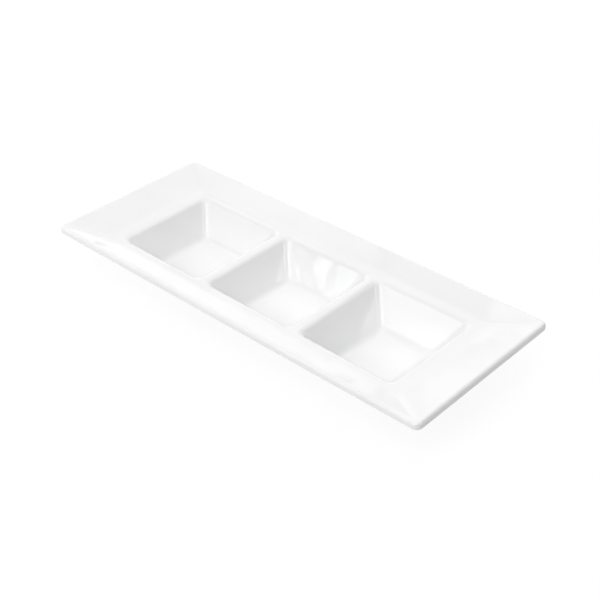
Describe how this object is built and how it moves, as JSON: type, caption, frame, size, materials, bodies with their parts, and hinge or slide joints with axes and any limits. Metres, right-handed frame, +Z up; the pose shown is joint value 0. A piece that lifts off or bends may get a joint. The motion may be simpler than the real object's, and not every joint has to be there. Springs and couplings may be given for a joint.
{
  "type": "divided serving bowl",
  "caption": "Long rectangular glazed porcelain serving dish with a wide sloping rim and a row of three nearly square tapered wells parted by low rounded dividers.",
  "frame": {"origin": "on the table plane, below the centre of the dish", "axes": "+X along the length to the right-hand end, +Y across the width to the back, +Z up"},
  "size_m": [0.35, 0.144, 0.0404],
  "materials": {
    "bisque": "fired porcelain under the glaze, dense and matt",
    "bare_foot": "ground unglazed porcelain, fine and dry",
    "glaze": "clear white gloss with a soft waviness"
  },
  "bodies": {
    "root": {"rim": "bisque", "left_well": "bisque", "middle_well": "bisque", "right_well": "bisque", "left_divider": "bisque", "right_divider": "bisque", "left_foot": "bare_foot", "middle_foot": "bare_foot", "right_foot": "bare_foot", "glaze": "glaze"}
  },
  "joints": []
}
